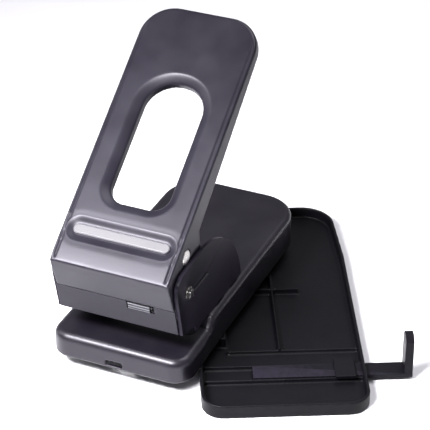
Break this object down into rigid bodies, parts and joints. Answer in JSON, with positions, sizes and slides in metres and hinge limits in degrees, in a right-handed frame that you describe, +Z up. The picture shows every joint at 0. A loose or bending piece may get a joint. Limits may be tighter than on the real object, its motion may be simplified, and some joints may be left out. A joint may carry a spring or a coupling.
{
  "type": "hole punch",
  "caption": "Heavy-duty lever paper punch with a slotted handle, a swing-out chip tray and a sliding paper guide.",
  "frame": {"origin": "on the resting plane, straight under the home place of the tray's stud, on the base's centre plane", "axes": "+X to the right, +Y to the back, +Z up"},
  "size_m": [0.2695, 0.297, 0.2395],
  "materials": {
    "shell_paint": "satin black powder coat",
    "lever_paint": "satin black powder coat",
    "cheek_paint": "satin black powder coat",
    "plate_paint": "satin black powder coat",
    "raw_steel": "blackened steel",
    "zinc_steel": "zinc plated",
    "bright_steel": "polished",
    "hard_steel": "hardened and ground",
    "spring_steel": "spring wire",
    "silver_trim": "silver trim",
    "tray_plastic": "fine textured black",
    "guide_plastic": "satin black",
    "foot_rubber": "matt"
  },
  "bodies": {
    "base": {"base_shell": "shell_paint", "frame_plate": "raw_steel", "die_rings": "hard_steel", "cheek_left": "cheek_paint", "cheek_right": "cheek_paint", "front_plate": "plate_paint", "tie_rod": "zinc_steel", "guide_block": "raw_steel", "pivot_axle": "zinc_steel", "axle_clips": "bright_steel", "spring_wires": "spring_steel", "frame_screws": "zinc_steel", "shell_screws": "zinc_steel", "tray_rail": "zinc_steel", "rail_screws": "zinc_steel", "side_foot": "foot_rubber", "lock_keeper": "zinc_steel", "spring_left": "spring_steel", "spring_right": "spring_steel"},
    "lever": {"lever_shell": "lever_paint", "accent_bar": "silver_trim", "cross_shaft": "bright_steel", "press_bar": "hard_steel"},
    "left_punch": {"pin_left": "hard_steel", "cup_left": "zinc_steel"},
    "right_punch": {"pin_right": "hard_steel", "cup_right": "zinc_steel"},
    "lock": {"lock_slider": "bright_steel"},
    "stud": {"tray_stud": "zinc_steel", "stud_clip": "bright_steel"},
    "tray": {"chip_tray": "tray_plastic", "guide_retainer": "tray_plastic", "tray_pads": "foot_rubber"},
    "guide": {"paper_guide": "guide_plastic"}
  },
  "joints": [
    {"name": "lever_press", "type": "hinge", "parent": "base", "child": "lever", "pos_m": [0, -0.2055, 0.0862], "axis": [1, 0, 0], "range_deg": [-34, 0], "stiffness_Nm_per_rad": 3, "springref_deg": 20.05},
    {"name": "left_punch_slide", "type": "slide", "parent": "base", "child": "left_punch", "axis": [0, 0, 1], "range_m": [-0.01701, 0], "deforming": ["spring_left"]},
    {"name": "right_punch_slide", "type": "slide", "parent": "base", "child": "right_punch", "axis": [0, 0, 1], "range_m": [-0.01701, 0], "deforming": ["spring_right"]},
    {"name": "lock_slide", "type": "slide", "parent": "base", "child": "lock", "axis": [1, 0, 0], "range_m": [0, 0.0035]},
    {"name": "tray_slip", "type": "slide", "parent": "base", "child": "stud", "axis": [1, 0, 0], "range_m": [-0.0327, 0]},
    {"name": "tray_swing", "type": "hinge", "parent": "stud", "child": "tray", "pos_m": [0.0327, 0, 0], "axis": [0, 0, 1], "range_deg": [-26.4, 0]},
    {"name": "guide_slide", "type": "slide", "parent": "tray", "child": "guide", "axis": [0.8957, 0.4446, 0], "range_m": [-0.0275, 0.0555]}
  ],
  "couplings": [
    {"joint": "left_punch_slide", "follows": "lever_press", "m_per_rad": 0.028648},
    {"joint": "right_punch_slide", "follows": "lever_press", "m_per_rad": 0.028648}
  ]
}
